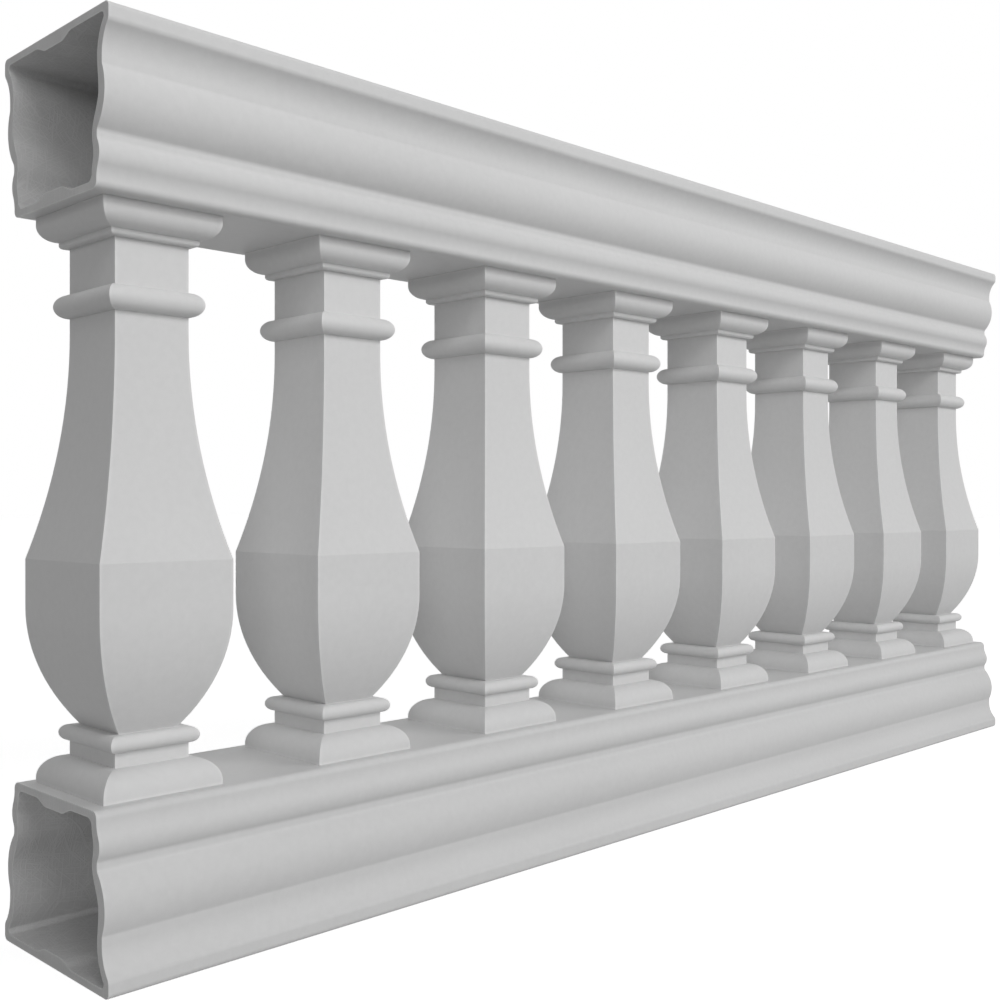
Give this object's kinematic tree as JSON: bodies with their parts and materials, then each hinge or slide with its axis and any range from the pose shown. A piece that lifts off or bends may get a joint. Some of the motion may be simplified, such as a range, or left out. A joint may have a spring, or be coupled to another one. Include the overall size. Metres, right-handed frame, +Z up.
{
  "type": "fiberglass balustrade section",
  "caption": "Moulded fiberglass balustrade section: hollow profiled rails above and below a row of square-edged, bellied balusters, open rail ends for joining on.",
  "frame": {"origin": "on the floor, at the middle of the section's length and depth", "axes": "+X along the rails, -Y is the front, +Z up; the section is symmetric front to back and end to end"},
  "size_m": [1.92, 0.224, 0.9144],
  "materials": {
    "rail_fiberglass": "smooth pale grey gelcoat, matte",
    "baluster_fiberglass": "smooth pale grey gelcoat, matte"
  },
  "bodies": {
    "root": {"bottom_rail": "rail_fiberglass", "top_rail": "rail_fiberglass", "baluster_1": "baluster_fiberglass", "baluster_2": "baluster_fiberglass", "baluster_3": "baluster_fiberglass", "baluster_4": "baluster_fiberglass", "baluster_5": "baluster_fiberglass", "baluster_6": "baluster_fiberglass", "baluster_7": "baluster_fiberglass", "baluster_8": "baluster_fiberglass"}
  },
  "joints": []
}
